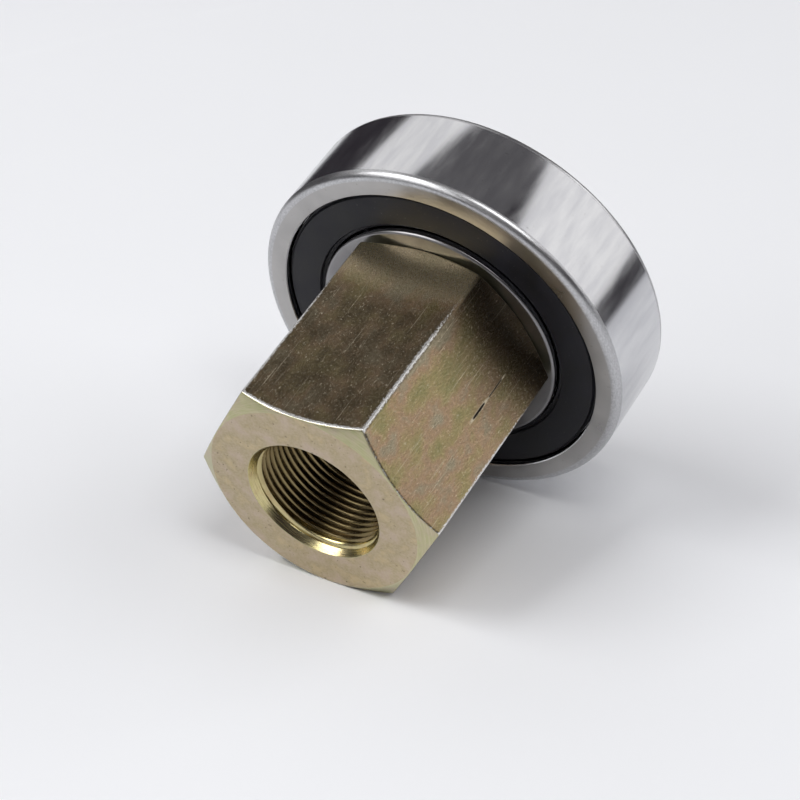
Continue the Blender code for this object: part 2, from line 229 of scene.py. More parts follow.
# Colours of the plating
FLAT_TINTS = ((0.30, 0.27, 0.12), (0.39, 0.31, 0.15), (0.43, 0.29, 0.18), (0.36, 0.31, 0.21))
FACE_TINTS = ((0.53, 0.43, 0.26), (0.43, 0.35, 0.22), (0.48, 0.39, 0.27), (0.52, 0.42, 0.33))
CHAMFER_TINTS = ((0.42, 0.42, 0.22), (0.47, 0.45, 0.26), (0.47, 0.41, 0.28))
HOLE_TINTS = ((0.60, 0.52, 0.25), (0.64, 0.56, 0.30), (0.56, 0.45, 0.24))
DARK_GRAIN = (0.10, 0.075, 0.04)
DARK_BRONZE = (0.08, 0.058, 0.032)
PALE_GOLD = (0.80, 0.68, 0.44)
# DENT is near black: the painted shade inside the dents, and also the side rims' dotted dark line
DENT = (0.02, 0.015, 0.01)
DARK_GOLD = (0.15, 0.105, 0.05)
PALE_ZINC = (0.66, 0.58, 0.43)
BARE_STEEL = (0.80, 0.79, 0.77)

# Colours of the bearing and the retaining ring: each pair is what a surface clouds between
TREAD_GREYS = ((0.56, 0.56, 0.58), (0.66, 0.66, 0.67))
CORNER_GREYS = ((0.42, 0.42, 0.43), (0.58, 0.58, 0.59))
OUTER_SIDE_GREYS = ((0.40, 0.39, 0.385), (0.49, 0.48, 0.47))
# The inner ring's side greys are a darker copy of the outer side's: painted shade on the inner ring
# between seal and spindle
SHADED_INNER_SIDE_GREYS = ((0.20, 0.195, 0.20), (0.30, 0.295, 0.30))
INSIDE_GREYS = ((0.56, 0.56, 0.57), (0.66, 0.66, 0.67))
PRESSED_GREYS = ((0.42, 0.41, 0.40), (0.58, 0.57, 0.56))
RUBBER_BLACKS = ((0.006, 0.006, 0.008), (0.012, 0.012, 0.018))
SPRING_BLACKS = ((0.035, 0.031, 0.028), (0.075, 0.066, 0.06))
TREAD_SPOT = (0.35, 0.34, 0.33)
SIDE_MARK = (0.28, 0.26, 0.25)
DUST = (0.22, 0.21, 0.20)
SPRING_WEAR = (0.30, 0.29, 0.28)

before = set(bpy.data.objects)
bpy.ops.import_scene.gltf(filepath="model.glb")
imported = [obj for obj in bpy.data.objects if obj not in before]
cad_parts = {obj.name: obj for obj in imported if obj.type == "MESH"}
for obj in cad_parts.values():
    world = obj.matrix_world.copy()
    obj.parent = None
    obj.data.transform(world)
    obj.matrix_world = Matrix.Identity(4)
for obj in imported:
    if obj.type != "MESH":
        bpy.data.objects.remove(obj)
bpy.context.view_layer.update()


def node_range(node):
    """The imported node's lowest and highest corner in millimetres."""
    low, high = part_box(node)
    return low / MM, high / MM


ring_low, ring_high = node_range("outer_ring")
spindle_high = node_range("hex_spindle")[1]
ball_low, ball_high = node_range("ball_1")
rivet_high = node_range("cage_rivet_1")[1]
clip_low, clip_high = node_range("retaining_ring")

OUTER_RADIUS = ring_high.z
HALF_WIDTH = (ring_high.y - ring_low.y) / 2
BEARING_Y = (ring_high.y + ring_low.y) / 2
BALL_RADIUS = (ball_high.z - ball_low.z) / 2
PITCH_RADIUS = (ball_high.z + ball_low.z) / 2
RIVET_TOP = rivet_high.y - BEARING_Y
SPINDLE_END = spindle_high.y
SHOULDER = ring_high.y + SHOULDER_GAP
THREAD_START = SPINDLE_END - (MOUTH_RADIUS - THREAD_CREST_RADIUS) / tan(MOUTH_HALF_ANGLE)
THREAD_TOP = SPINDLE_END - (MOUTH_RADIUS - THREAD_ROOT_RADIUS) / tan(MOUTH_HALF_ANGLE)


# Shapes


def around(radius, y, angle):
    """A point at this radius and height along the spin axis. Angle 0 is straight up."""
    return Vector((radius * sin(angle), y, radius * cos(angle)))


def rounded(corners):
    """The profile through these (radius, y, fillet) corners, with each fillet an arc."""
    path = []
    for i, (radius, y, fillet) in enumerate(corners):
        here = Vector((radius, y))
        if not fillet:
            path.append(here)
            continue
        before = Vector(corners[i - 1][:2]) - here
        after = Vector(corners[(i + 1) % len(corners)][:2]) - here
        turn = pi - before.angle(after)
        reach = min(fillet * tan(turn / 2), FILLET_SHARE * before.length, FILLET_SHARE * after.length)
        to_centre = (before.normalized() + after.normalized()).normalized()
        centre = here + to_centre * reach / sin(turn / 2)
        start = here + before.normalized() * reach - centre
        end = here + after.normalized() * reach - centre
        for step in range(ARC_STEPS + 1):
            share = step / ARC_STEPS
            arm = start * sin((1 - share) * turn) + end * sin(share * turn)
            path.append(centre + arm / sin(turn))
    return path


class Shape:
    """Point loops and the faces between them, gathered before they become one mesh."""

    def __init__(self):
        self.points = []
        self.faces = []

    def loop(self, points):
        """Adds points and returns their numbers."""
        start = len(self.points)
        self.points.extend(points)
        return list(range(start, len(self.points)))

    def band(self, first, second):
        """Quads between two closed loops with as many points each."""
        for i in range(len(first)):
            self.faces.append((first[i - 1], first[i], second[i], second[i - 1]))

    def chain(self, loops):
        """Quads from each closed loop to the next."""
        for first, second in zip(loops, loops[1:]):
            self.band(first, second)

    def turned(self, profile, segments, centre=Vector(), first_angle=0.0):
        """Adds a loop round the centre for each (radius, y) of the profile."""
        angles = [first_angle + 2 * pi * i / segments for i in range(segments)]
        loops = []
        for radius, y in profile:
            loops.append(self.loop([around(radius, y, angle) + centre for angle in angles]))
        return loops

    def mesh(self, name, zone_of=None):
        """One clean smooth mesh in metres. zone_of picks each face's material slot."""
        mesh = bpy.data.meshes.new(name)
        mesh.from_pydata([point * MM for point in self.points], [], self.faces)
        skin = bmesh.new()
        skin.from_mesh(mesh)
        bmesh.ops.remove_doubles(skin, verts=skin.verts, dist=MERGE_DISTANCE)
        bmesh.ops.dissolve_degenerate(skin, edges=skin.edges, dist=MERGE_DISTANCE)
        bmesh.ops.recalc_face_normals(skin, faces=skin.faces)
        for face in skin.faces:
            face.smooth = True
            if zone_of:
                face.material_index = zone_of(face.calc_center_median() / MM, face.normal)
        skin.to_mesh(mesh)
        skin.free()
        mesh.set_sharp_from_angle(angle=SMOOTH_ANGLE)
        return mesh


def add_piece(node, mesh, body, materials):
    """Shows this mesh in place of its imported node."""
    for material in materials:
        mesh.materials.append(material)
    piece = bpy.data.objects.new(f"{node}_fine", mesh)
    bpy.context.scene.collection.objects.link(piece)
    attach(piece, body)
    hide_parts(node)


def cut_and_eased(mesh, cutter_mesh, edge):
    """The mesh with the cutter's shape taken out of it and its sharp edges rounded."""
    uncut = bpy.data.objects.new("uncut", mesh)
    cutter = bpy.data.objects.new("cutter", cutter_mesh)
    for thing in (uncut, cutter):
        bpy.context.scene.collection.objects.link(thing)
    cut = uncut.modifiers.new("cut", "BOOLEAN")
    cut.operation = "DIFFERENCE"
    cut.solver = "EXACT"
    cut.object = cutter
    ease = uncut.modifiers.new("ease", "BEVEL")
    ease.width = edge * MM
    ease.segments = BEVEL_STEPS
    ease.angle_limit = BEVEL_ANGLE
    finished = uncut.evaluated_get(bpy.context.evaluated_depsgraph_get())
    result = bpy.data.meshes.new_from_object(finished)
    for thing in (uncut, cutter):
        bpy.data.objects.remove(thing)
    result.set_sharp_from_angle(angle=SMOOTH_ANGLE)
    return result


def race_arc(land_radius, centre_radius, outward):
    """A raceway groove's (radius, y, fillet) points, from its front land to its back land."""
    edge = acos(abs(land_radius - centre_radius) / RACE_CURVE_RADIUS)
    points = []
    for step in range(2 * RACE_STEPS + 1):
        angle = edge * (1 - step / RACE_STEPS)
        radius = centre_radius + outward * RACE_CURVE_RADIUS * cos(angle)
        points.append((radius, RACE_CURVE_RADIUS * sin(angle), 0))
    return points


def placed_ring(corners):
    """The turned ring of a profile whose heights count from the bearing's middle."""
    shape = Shape()
    profile = [(radius, BEARING_Y + y) for radius, y in rounded(corners)]
    loops = shape.turned(profile, RING_SEGMENTS)
    shape.chain(loops + loops[:1])
    return shape


def mirrored(half):
    """The same profile points on the bearing's rear half, in the order that closes the loop."""
    return [(radius, -y, fillet) for radius, y, fillet in reversed(half)]


def ring_zone(centre, normal):
    """0 the rolling tread, 1 the rounded corners, 2 the side faces, 3 everything inside."""
    radius = hypot(centre.x, centre.z)
    outward = (normal.x * centre.x + normal.z * centre.z) / radius
    if radius > OUTER_RADIUS - OUTER_CORNER and outward > CORNER_FACING:
        return 0 if outward > TREAD_FACING else 1
    if abs(centre.y - BEARING_Y) > HALF_WIDTH - RECESS_LEAD / 2:
        return 2
    return 3


def make_outer_ring(tread, corner, side, inside):
    race_bottom = PITCH_RADIUS + BALL_RADIUS + OUTER_RACE_CLEARANCE
    half = [
        (OUTER_RADIUS, HALF_WIDTH, OUTER_CORNER),
        (RECESS_RADIUS + RECESS_LEAD, HALF_WIDTH, SMALL_EDGE / 2),
        (RECESS_RADIUS, HALF_WIDTH - RECESS_LEAD, SMALL_EDGE / 2),
        (RECESS_RADIUS, RECESS_FLOOR, SMALL_EDGE),
        (OUTER_LAND_RADIUS, RECESS_FLOOR, SMALL_EDGE),
    ]
    race = race_arc(OUTER_LAND_RADIUS, race_bottom - RACE_CURVE_RADIUS, 1)
    mesh = placed_ring(half + race + mirrored(half)).mesh("outer_ring", ring_zone)
    materials = [tread, corner, side, inside]
    add_piece("outer_ring", mesh, "roller", materials)


def inner_ring_zone(centre, normal):
    """0 the rounded edges and side faces, 1 the lands, raceway and bore."""
    at_side = abs(centre.y - BEARING_Y) > SEAL_LIP_FACE
    return 0 if at_side and abs(normal.y) > RING_SIDE_FACING else 1


def make_inner_ring(side, inside):
    race_bottom = PITCH_RADIUS - BALL_RADIUS - INNER_RACE_CLEARANCE
    half = [
        (BORE_RADIUS, HALF_WIDTH, BORE_CORNER),
        (INNER_LAND_RADIUS, HALF_WIDTH, INNER_EDGE),
    ]
    race = race_arc(INNER_LAND_RADIUS, race_bottom + RACE_CURVE_RADIUS, -1)
    mesh = placed_ring(half + race + mirrored(half)).mesh("inner_ring", inner_ring_zone)
    add_piece("inner_ring", mesh, "spindle", [side, inside])


def ball_angle(number):
    return 2 * pi * number / BALL_COUNT


def rivet_angle(number):
    return ball_angle(number) + pi / BALL_COUNT


def make_balls(steel):
    for number in range(BALL_COUNT):
        centre = around(PITCH_RADIUS, BEARING_Y, ball_angle(number)) * MM
        ball = bmesh.new()
        bmesh.ops.create_icosphere(ball, subdivisions=BALL_LEVELS, radius=BALL_RADIUS * MM)
        bmesh.ops.rotate(ball, verts=ball.verts, matrix=Matrix.Rotation(ball_angle(number), 3, "X"))
        bmesh.ops.translate(ball, verts=ball.verts, vec=centre)
        for face in ball.faces:
            face.smooth = True
        mesh = bpy.data.meshes.new(f"ball_{number + 1}")
        ball.to_mesh(mesh)
        ball.free()
        add_piece(f"ball_{number + 1}", mesh, f"ball_{number + 1}", [steel])


def cage_height(offset, radius):
    """How far a pocket of this radius stands from the seam, at this angle from its ball."""
    along = PITCH_RADIUS * sin(offset)
    return sqrt(max(0.0, radius**2 - along**2))


def cage_offsets():
    """Angles from one ball at which the ribbon gets a section, starting midway to its neighbour."""
    pocket = BALL_RADIUS + POCKET_CLEARANCE
    flat_height = CAGE_GAP + CAGE_THICKNESS
    reaches = [pocket * sin(pi / 2 * step / CAGE_STEPS) for step in range(CAGE_STEPS + 1)]
    reaches.append(sqrt((pocket + CAGE_THICKNESS) ** 2 - flat_height**2))
    offsets = [asin(reach / PITCH_RADIUS) for reach in reaches]
    return [-pi / BALL_COUNT] + [-offset for offset in reversed(offsets[1:])] + offsets


def cage_section(offset, angle, side):
    """The four corners of the ribbon at one angle round the bearing."""
    pocket = BALL_RADIUS + POCKET_CLEARANCE
    near = side * max(CAGE_GAP, cage_height(offset, pocket))
    far = side * max(CAGE_GAP + CAGE_THICKNESS, cage_height(offset, pocket + CAGE_THICKNESS))
    return [
        around(CAGE_INNER_RADIUS, BEARING_Y + near, angle),
        around(CAGE_OUTER_RADIUS, BEARING_Y + near, angle),
        around(CAGE_OUTER_RADIUS, BEARING_Y + far, angle),
        around(CAGE_INNER_RADIUS, BEARING_Y + far, angle),
    ]


def make_pins(centres, radius, low, high):
    """One mesh of round pins along Y, to be cut out of a piece."""
    shape = Shape()
    for centre in centres:
        ends = shape.turned([(radius, low), (radius, high)], SMALL_SEGMENTS, centre)
        shape.chain(ends)
        shape.faces += [tuple(end) for end in ends]
    return shape.mesh("pins")


def make_cage(steel):
    for node, side in (("cage_front_half", 1), ("cage_rear_half", -1)):
        shape = Shape()
        sections = []
        for number in range(BALL_COUNT):
            for offset in cage_offsets():
                points = cage_section(offset, ball_angle(number) + offset, side)
                sections.append(shape.loop(points))
        shape.chain(sections + sections[:1])
        centres = [around(PITCH_RADIUS, BEARING_Y, rivet_angle(n)) for n in range(BALL_COUNT)]
        reach = 2 * CAGE_THICKNESS
        holes = make_pins(centres, RIVET_HOLE_RADIUS, -reach, reach)
        mesh = cut_and_eased(shape.mesh(node), holes, CAGE_EDGE)
        add_piece(node, mesh, "cage", [steel])


def make_rivets(steel):
    seat = CAGE_GAP + CAGE_THICKNESS + RIVET_SEAT_GAP
    half = [
        (RIVET_HEAD_RADIUS, RIVET_TOP, RIVET_EDGE),
        (RIVET_HEAD_RADIUS, seat, 0),
        (RIVET_SHANK_RADIUS, seat, 0),
    ]
    profile = rounded([(0.0, RIVET_TOP, 0)] + half + mirrored(half) + [(0.0, -RIVET_TOP, 0)])
    for number in range(BALL_COUNT):
        shape = Shape()
        centre = around(PITCH_RADIUS, BEARING_Y, rivet_angle(number))
        shape.chain(shape.turned(profile, SMALL_SEGMENTS, centre))
        node = f"cage_rivet_{number + 1}"
        add_piece(node, shape.mesh(node), "cage", [steel])


def seal_rubber_corners():
    """The front seal's rubber: a bead in the ring's recess, a web over the insert, and a lip."""
    rebate = SEAL_BACK + INSERT_THICKNESS + INSERT_GAP
    return [
        (SEAL_SHOULDER_RADIUS, SEAL_FACE, SMALL_EDGE),
        (SEAL_GROOVE_RADIUS, SEAL_BEAD_FACE, SMALL_EDGE),
        (SEAL_BEAD_RADIUS, SEAL_BEAD_FACE, SMALL_EDGE),
        (SEAL_BEAD_RADIUS, SEAL_BACK, SMALL_EDGE),
        (INSERT_OUTER_RADIUS + INSERT_GAP, SEAL_BACK, 0),
        (INSERT_OUTER_RADIUS + INSERT_GAP, rebate, 0),
        (INSERT_INNER_RADIUS - INSERT_GAP, rebate, 0),
        (INSERT_INNER_RADIUS - INSERT_GAP, SEAL_BACK, 0),
        (SEAL_LIP_RADIUS, SEAL_LIP_BACK, SMALL_EDGE),
        (SEAL_LIP_RADIUS, SEAL_LIP_FACE, SMALL_EDGE),
        (SEAL_LIP_TOP_RADIUS, SEAL_BEAD_FACE, SMALL_EDGE),
        (SEAL_WEB_RADIUS, SEAL_FACE, SMALL_EDGE),
    ]


def seal_insert_corners():
    """The flat steel ring that stiffens the front seal."""
    front = SEAL_BACK + INSERT_THICKNESS
    return [
        (INSERT_INNER_RADIUS, SEAL_BACK, INSERT_GAP),
        (INSERT_OUTER_RADIUS, SEAL_BACK, INSERT_GAP),
        (INSERT_OUTER_RADIUS, front, INSERT_GAP),
        (INSERT_INNER_RADIUS, front, INSERT_GAP),
    ]


def make_seals(rubber, steel):
    for place, side in (("front", 1), ("rear", -1)):
        for node, corners, slot, material in (
            (f"{place}_seal_rubber", seal_rubber_corners(), "seal_rubber", rubber),
            (f"{place}_seal_insert", seal_insert_corners(), "seal_insert_steel", steel),
        ):
            shape = placed_ring([(radius, side * y, fillet) for radius, y, fillet in corners])
            add_piece(node, shape.mesh(node), "roller", [material])


def hex_outline():
    """(angle, radius) points round the hexagon, with its long edges rounded."""
    half_side = HALF_FLAT * tan(pi / SIDES)
    straight = half_side - EDGE_ROUND * tan(pi / SIDES)
    corner_centre = (HALF_FLAT - EDGE_ROUND) / cos(pi / SIDES)
    points = []
    for side in range(SIDES):
        facing = 2 * pi * side / SIDES
        for step in range(FLAT_STEPS + 1):
            across = straight * (2 * step / FLAT_STEPS - 1)
            points.append(around(HALF_FLAT, 0, facing) + around(across, 0, facing + pi / 2))
        corner = facing + pi / SIDES
        for step in range(1, CORNER_STEPS):
            turn = corner + pi / SIDES * (2 * step / CORNER_STEPS - 1)
            points.append(around(corner_centre, 0, corner) + around(EDGE_ROUND, 0, turn))
    return [(atan2(point.x, point.z), hypot(point.x, point.z)) for point in points]


def chamfer_setback(radius):
    """How far the chamfer at either end of the hexagon runs in, at this radius."""
    return (radius - CHAMFER_RADIUS) * tan(CHAMFER_ANGLE)


def hexagon_loops(shape, outline):
    """Loops from the shoulder's rim over the hexagon to the end face's rim."""
    sections = []
    for angle, radius in outline:
        corners = [
            (END_RIM_RADIUS, SHOULDER, 0),
            (CHAMFER_RADIUS, SHOULDER, FACE_EDGE),
            (radius, SHOULDER + chamfer_setback(radius), CHAMFER_EDGE),
            (radius, SPINDLE_END - chamfer_setback(radius), CHAMFER_EDGE),
            (CHAMFER_RADIUS, SPINDLE_END, FACE_EDGE),
            (END_RIM_RADIUS, SPINDLE_END, 0),
        ]
        sections.append([around(r, y, angle) for r, y in rounded(corners)])
    return [shape.loop(points) for points in zip(*sections)]


def thread_radius(turns):
    """Radius of the thread this many turns from its start, with softened crests and roots."""
    from_crest = abs(2 * (turns % 1.0) - 1)
    flank = 1 - THREAD_CREST_SHARE - THREAD_ROOT_SHARE
    depths = []
    for shift in (-THREAD_SOFTENING, 0.0, THREAD_SOFTENING):
        depths.append(min(1.0, max(0.0, (from_crest + shift - THREAD_CREST_SHARE) / flank)))
    depth = sum(depths) / len(depths)
    return THREAD_CREST_RADIUS + depth * (THREAD_ROOT_RADIUS - THREAD_CREST_RADIUS)


def add_thread(shape, segments, first_angle):
    """Adds the threaded wall, whose rows follow the helix, and returns its two end loops."""
    end = SPINDLE_END - THREAD_END_DEPTH
    row_count = ceil(ROWS_PER_PITCH * ((THREAD_TOP - end) / THREAD_PITCH + 1))
    rows = []
    for row in range(row_count + 1):
        points = []
        for i in range(segments):
            y = THREAD_TOP + THREAD_PITCH * (i / segments - row / ROWS_PER_PITCH)
            y = min(THREAD_TOP, max(end, y))
            angle = first_angle + 2 * pi * i / segments
            turns = (THREAD_START - y) / THREAD_PITCH + angle / (2 * pi)
            cone = THREAD_CREST_RADIUS + (y - THREAD_START) * tan(MOUTH_HALF_ANGLE)
            points.append(around(max(cone, thread_radius(turns)), y, angle))
        numbers = shape.loop(points)
        # One turn on, the helix meets the row that lies one pitch above.
        meeting = rows[max(0, row - ROWS_PER_PITCH)][0] if rows else numbers[0]
        rows.append(numbers + [meeting])
    for upper, lower in zip(rows, rows[1:]):
        for i in range(segments):
            shape.faces.append((upper[i], upper[i + 1], lower[i + 1], lower[i]))
    return rows[0][:-1], rows[-1][:-1]


def spindle_zone(centre, normal):
    """0 the drawn flats, 1 the faced ends, 2 the chamfers, 3 the hole, 4 the turned seat."""
    radius = hypot(centre.x, centre.z)
    if centre.y < SHOULDER - SHOULDER_GAP / 2:
        return 4
    if radius < MOUTH_RADIUS and centre.y < SPINDLE_END - SMALL_EDGE / 4:
        return 3
    if abs(normal.y) > END_FACING:
        return 1
    return 0 if abs(normal.y) < CHAMFER_FACING else 2


def add_distances(mesh):
    """Stores how far each point lies from a long edge and from the threaded end's chamfer."""
    count = len(mesh.vertices)
    places = np.empty(3 * count)
    mesh.vertices.foreach_get("co", places)
    x, y, z = places.reshape(-1, 3).T / MM
    sector = 2 * pi / SIDES
    off_centre = np.mod(np.arctan2(x, z) + sector / 2, sector) - sector / 2
    across = np.abs(np.hypot(x, z) * np.sin(off_centre))
    from_edge = HALF_FLAT * tan(pi / SIDES) - EDGE_ROUND / 2 - across
    from_rim = SPINDLE_END - chamfer_setback(HALF_FLAT / np.cos(off_centre)) - y
    for name, values in (("from_edge", from_edge), ("from_rim", from_rim)):
        layer = mesh.attributes.new(name, "FLOAT", "POINT")
        layer.data.foreach_set("value", np.maximum(values, 0.0).astype(np.float32))


def seat_profile():
    """The turned seat with its groove, from the middle of the rear end to the shoulder."""
    corners = [
        (0.0, 0.0, 0),
        (SEAT_RADIUS - REAR_CHAMFER, 0.0, SMALL_EDGE),
        (SEAT_RADIUS, REAR_CHAMFER, SMALL_EDGE),
        (SEAT_RADIUS, REAR_LAND, SMALL_EDGE),
        (GROOVE_RADIUS, REAR_LAND, SMALL_EDGE),
        (GROOVE_RADIUS, REAR_LAND + GROOVE_WIDTH, SMALL_EDGE),
        (SEAT_RADIUS, REAR_LAND + GROOVE_WIDTH, SMALL_EDGE),
        (SEAT_RADIUS, SHOULDER, 0),
    ]
    return rounded(corners)


def mouth_profile():
    """The rounded rim of the countersink, between the end face and the thread."""
    corners = [
        (END_RIM_RADIUS, SPINDLE_END, 0),
        (MOUTH_RADIUS, SPINDLE_END, SMALL_EDGE),
        (THREAD_ROOT_RADIUS, THREAD_TOP, 0),
    ]
    return rounded(corners)[1:-1]


def drill_profile():
    """The plain bottom of the hole, from the thread's end to the drill point."""
    drill_y = SPINDLE_END - DRILL_DEPTH
    return [
        (THREAD_CREST_RADIUS, SPINDLE_END - THREAD_END_DEPTH),
        (THREAD_CREST_RADIUS, drill_y),
        (0.0, drill_y - THREAD_CREST_RADIUS / tan(DRILL_POINT_ANGLE / 2)),
    ]


def make_spindle(flats, faces, chamfers, hole, seat):
    outline = hex_outline()
    segments = len(outline)
    first_angle = -pi * FLAT_STEPS / segments
    shape = Shape()
    stub = shape.turned(seat_profile(), segments, first_angle=first_angle)
    mouth = shape.turned(mouth_profile(), segments, first_angle=first_angle)
    first, last = add_thread(shape, segments, first_angle)
    bottom = shape.turned(drill_profile(), segments, first_angle=first_angle)
    shape.chain(stub + hexagon_loops(shape, outline) + mouth + [first])
    shape.chain([last] + bottom)
    mesh = shape.mesh("hex_spindle", spindle_zone)
    add_distances(mesh)
    materials = [flats, faces, chamfers, hole, seat]
    add_piece("hex_spindle", mesh, "spindle", materials)


def clip_width(angle):
    """Radial width of the retaining ring, at this angle from the middle of its gap."""
    share = (1 - cos(angle)) / 2
    width = CLIP_THIN_WIDTH + share * (CLIP_THICK_WIDTH - CLIP_THIN_WIDTH)
    past_lug = (angle - CLIP_HALF_GAP - CLIP_LUG_SPAN) / CLIP_LUG_FADE
    fade = min(1.0, max(0.0, past_lug))
    return CLIP_LUG_WIDTH + fade * fade * (3 - 2 * fade) * (width - CLIP_LUG_WIDTH)


def make_retaining_ring(steel):
    shape = Shape()
    sections = []
    for step in range(CLIP_STEPS + 1):
        offset = CLIP_HALF_GAP + 2 * (pi - CLIP_HALF_GAP) * step / CLIP_STEPS
        angle = CLIP_CENTRE_ANGLE + offset
        outer = CLIP_INNER_RADIUS + clip_width(min(offset, 2 * pi - offset))
        points = []
        for radius, y in (
            (CLIP_INNER_RADIUS, clip_low.y),
            (outer, clip_low.y),
            (outer, clip_high.y),
            (CLIP_INNER_RADIUS, clip_high.y),
        ):
            points.append(around(radius, y, angle))
        sections.append(shape.loop(points))
    shape.chain(sections)
    shape.faces += [tuple(sections[0]), tuple(sections[-1])]
    centres = []
    for side in (-1, 1):
        angle = CLIP_CENTRE_ANGLE + side * (CLIP_HALF_GAP + CLIP_LUG_SPAN / 2)
        centres.append(around(CLIP_INNER_RADIUS + CLIP_PIN_INSET, 0.0, angle))
    thickness = clip_high.y - clip_low.y
    holes = make_pins(centres, CLIP_PIN_RADIUS, clip_low.y - thickness, clip_high.y + thickness)
    mesh = cut_and_eased(shape.mesh("retaining_ring"), holes, CLIP_EDGE)
    add_piece("retaining_ring", mesh, "spindle", [steel])


# Materials


def drawn(times):
    """The stretch of marks drawn out along the spin axis, as a drawn bar has."""
    return (1, times, 1)


def lathed(times):
    """The stretch of marks drawn out across the spin axis, as a lathe leaves."""
    return (times, 1, times)


class Look:
    """A procedural material, and short ways to add nodes to it. Places on it are in millimetres."""

    def __init__(self, name):
        self.material = bpy.data.materials.new(name)
        self.material.use_nodes = True
        self.tree = self.material.node_tree
        self.tree.nodes.clear()
        object_place = self.add("ShaderNodeTexCoord").outputs["Object"]
        self.place = self.scaled(object_place, (1 / MM,) * 3)
        self.x, self.y, self.z = self.add("ShaderNodeSeparateXYZ", {0: self.place}).outputs
        self.radius = self.length(self.x, self.z)

    def add(self, kind, values=(), **settings):
        """A node with these settings, whose inputs are numbers, colours or other nodes' outputs."""
        node = self.tree.nodes.new(kind)
        for name, value in settings.items():
            setattr(node, name, value)
        for key, value in dict(values).items():
            if isinstance(value, bpy.types.NodeSocket):
                self.tree.links.new(value, node.inputs[key])
            else:
                node.inputs[key].default_value = value
        return node

    def math(self, operation, *values):
        node = self.add("ShaderNodeMath", dict(enumerate(values)), operation=operation)
        return node.outputs[0]

    def length(self, first, second):
        """The length of two distances at right angles."""
        squares = self.math("ADD", self.math("POWER", first, 2.0), self.math("POWER", second, 2.0))
        return self.math("SQRT", squares)

    def scaled(self, place, scale):
        return self.add("ShaderNodeMapping", {"Vector": place, "Scale": scale}).outputs[0]

    def outward(self, angle):
        """How far out a place lies in the direction at this angle about the spin axis."""
        parts = (self.math("MULTIPLY", self.x, sin(angle)), self.math("MULTIPLY", self.z, cos(angle)))
        return self.math("ADD", *parts)

    def noise(self, size, stretch=(1, 1, 1), detail=2.0, rough=0.5, place=None):
        """Soft noise about this big, drawn out along each axis, from about 0.25 to 0.75."""
        spot = self.scaled(place or self.place, [1 / (size * times) for times in stretch])
        values = {"Vector": spot, "Scale": 1.0, "Detail": detail, "Roughness": rough}
        return self.add("ShaderNodeTexNoise", values).outputs[0]

    def polar(self):
        """A place whose middle number is the radius, for marks left by turning a side face."""
        return self.add("ShaderNodeCombineXYZ", {0: self.x, 1: self.radius, 2: self.z}).outputs[0]

    def spread(self, value, low, high, first=0.0, last=1.0):
        """first below low, last above high, and a straight run between them."""
        values = {0: value, 1: low, 2: high, 3: first, 4: last}
        return self.add("ShaderNodeMapRange", values).outputs[0]

    def roughness(self, noise, low, high):
        """A roughness that runs from low to high with this noise."""
        return self.spread(noise, ROUGH_LOW, ROUGH_HIGH, low, high)

    def mix(self, share, first, second):
        """From the first colour to the second."""
        values = {"Factor": share}
        for socket, colour in ((MIX_FIRST, first), (MIX_SECOND, second)):
            values[socket] = (*colour, 1) if isinstance(colour, tuple) else colour
        return self.add("ShaderNodeMix", values, data_type="RGBA").outputs[MIX_RESULT]

    def clouded(self, clouds, colours):
        """The first colour where this noise is low and the second where it is high."""
        return self.mix(self.spread(clouds, CLOUD_LOW, CLOUD_HIGH), *colours)

    def patches(self, colours, size, stretch=(1, 1, 1), detail=4.0):
        """Soft patches that run through these colours."""
        ramp = self.add("ShaderNodeValToRGB", {0: self.noise(size, stretch, detail)})
        stops = ramp.color_ramp.elements
        for _ in colours[2:]:
            stops.new(PATCH_MIDDLE)
        for i, colour in enumerate(colours):
            stops[i].position = PATCH_LOW + (PATCH_HIGH - PATCH_LOW) * i / (len(colours) - 1)
            stops[i].color = (*colour, 1)
        return ramp.outputs[0]

    def bump(self, height, depth, under=None):
        """The normal of relief this deep in millimetres, over another normal if there is one."""
        values = {"Height": height, "Distance": depth * MM, "Strength": 1.0}
        if under:
            values["Normal"] = under
        return self.add("ShaderNodeBump", values).outputs[0]

    def attribute(self, name):
        """A number that the mesh stores at each point."""
        return self.add("ShaderNodeAttribute", attribute_name=name).outputs["Fac"]

    def finish(self, colour, roughness, normal, metallic=1.0, specular=0.5):
        """The finished material, which is bare metal unless metallic says otherwise."""
        values = {
            "Base Color": colour,
            "Roughness": roughness,
            "Normal": normal,
            "Metallic": metallic,
            "Specular IOR Level": specular,
        }
        shader = self.add("ShaderNodeBsdfPrincipled", values)
        self.add("ShaderNodeOutputMaterial", {0: shader.outputs[0]})
        return self.material


def tinted_with_painted_light(look, from_rim, on_top):
    """Tinted patches, with painted shade browning the top flat and the side flats near the bearing,
    and a painted reflection as a pale gold band on the top flat.
    """
    tint = look.patches(FLAT_TINTS, 4.0, drawn(1.6))
    cloud = look.spread(look.noise(3.0, drawn(1.6), 5.0, 0.65), 0.38, 0.62, 0.68, 1.0)
    # Painted shade: the top flat darkens in clouds towards dark bronze, fading out towards the
    # bearing.
    darkening = look.math("MULTIPLY", on_top, look.spread(from_rim, *TOP_SHADE, 1.0, 0.0))
    colour = look.mix(look.math("MULTIPLY", darkening, cloud), tint, DARK_BRONZE)
    # Painted shade: the side flats darken towards dark bronze near the bearing.
    painted_shade_near_bearing = look.math("SUBTRACT", look.spread(from_rim, *NEAR_BEARING, 0.0, 0.85), on_top)
    colour = look.mix(look.math("MAXIMUM", painted_shade_near_bearing, 0.0), colour, DARK_BRONZE)
    # Painted reflection: a pale gold band on the top flat next to the bearing.
    painted_reflection = look.math("MULTIPLY", on_top, look.spread(from_rim, *REFLECTION_BAND, 0.0, 0.75))
    return look.mix(painted_reflection, colour, PALE_GOLD)


